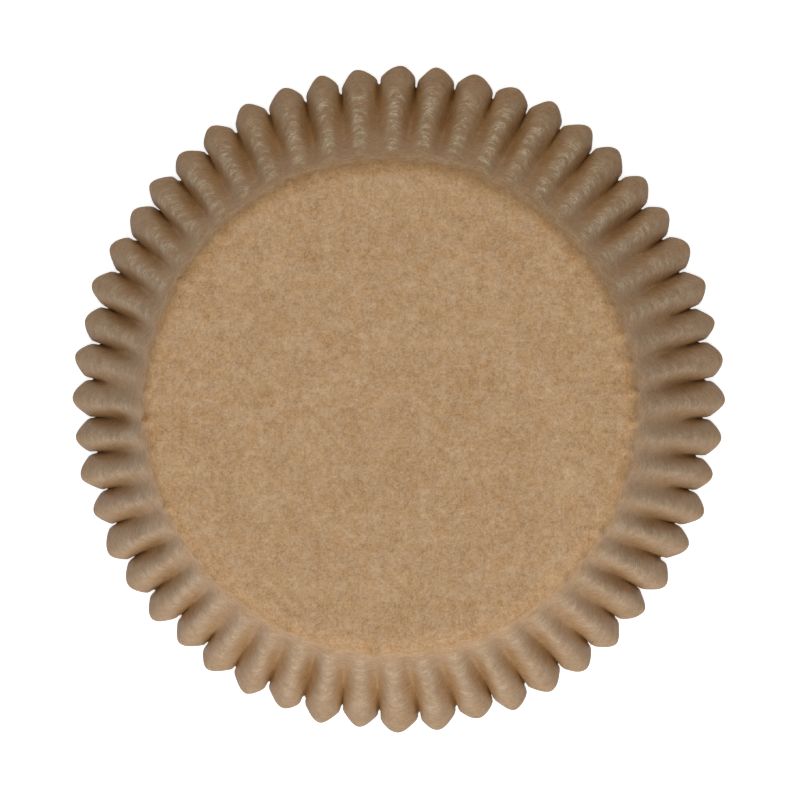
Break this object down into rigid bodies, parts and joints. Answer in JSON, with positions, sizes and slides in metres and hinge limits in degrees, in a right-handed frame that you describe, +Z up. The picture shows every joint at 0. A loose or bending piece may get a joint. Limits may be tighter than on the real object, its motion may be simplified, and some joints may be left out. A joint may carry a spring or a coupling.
{
  "type": "cupcake liner",
  "caption": "Fluted paper cupcake liner with a flat round base and a flared, pleated wall, standing upside down on its rim.",
  "frame": {"origin": "centre of the fluted rim, on the surface that the liner stands on upside down", "axes": "+Z up along the axis of the liner, from its open rim to its flat base"},
  "size_m": [0.07, 0.07, 0.0305],
  "materials": {
    "kraft_paper": "satin"
  },
  "bodies": {
    "root": {"liner": "kraft_paper"}
  },
  "joints": []
}
